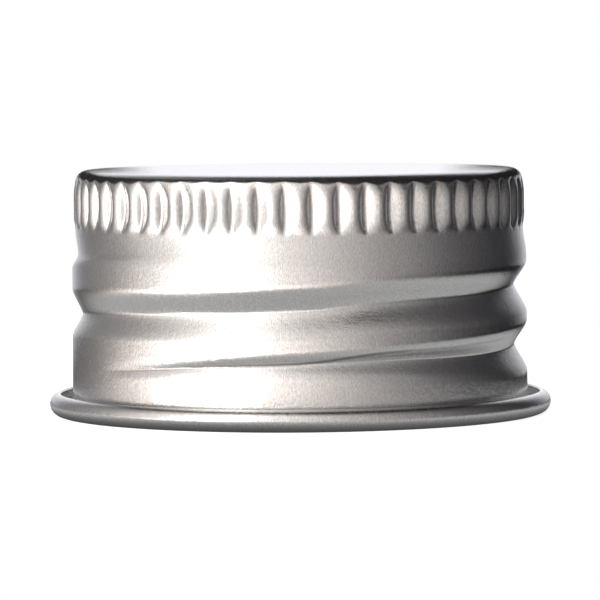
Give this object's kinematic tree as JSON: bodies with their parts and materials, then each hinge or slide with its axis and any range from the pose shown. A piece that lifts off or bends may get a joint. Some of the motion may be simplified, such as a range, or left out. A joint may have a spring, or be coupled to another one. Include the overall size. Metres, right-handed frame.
{
  "type": "metal screw cap",
  "caption": "Drawn aluminium screw cap with a knurled grip band, a rolled right-hand thread, an outward rolled hem and a soft sealing liner under its top",
  "frame": {"origin": "middle of the plane that the rolled hem stands on, on the cap's axis", "axes": "+Z is the cap's axis, up through the top panel; -Y is the front; the mouth opens along -Z"},
  "size_m": [0.027, 0.027, 0.0132],
  "materials": {
    "shell": "bare satin aluminium sheet with a fine grain",
    "liner": "white closed-cell foam"
  },
  "bodies": {
    "root": {"shell": "shell", "liner": "liner"}
  },
  "joints": []
}
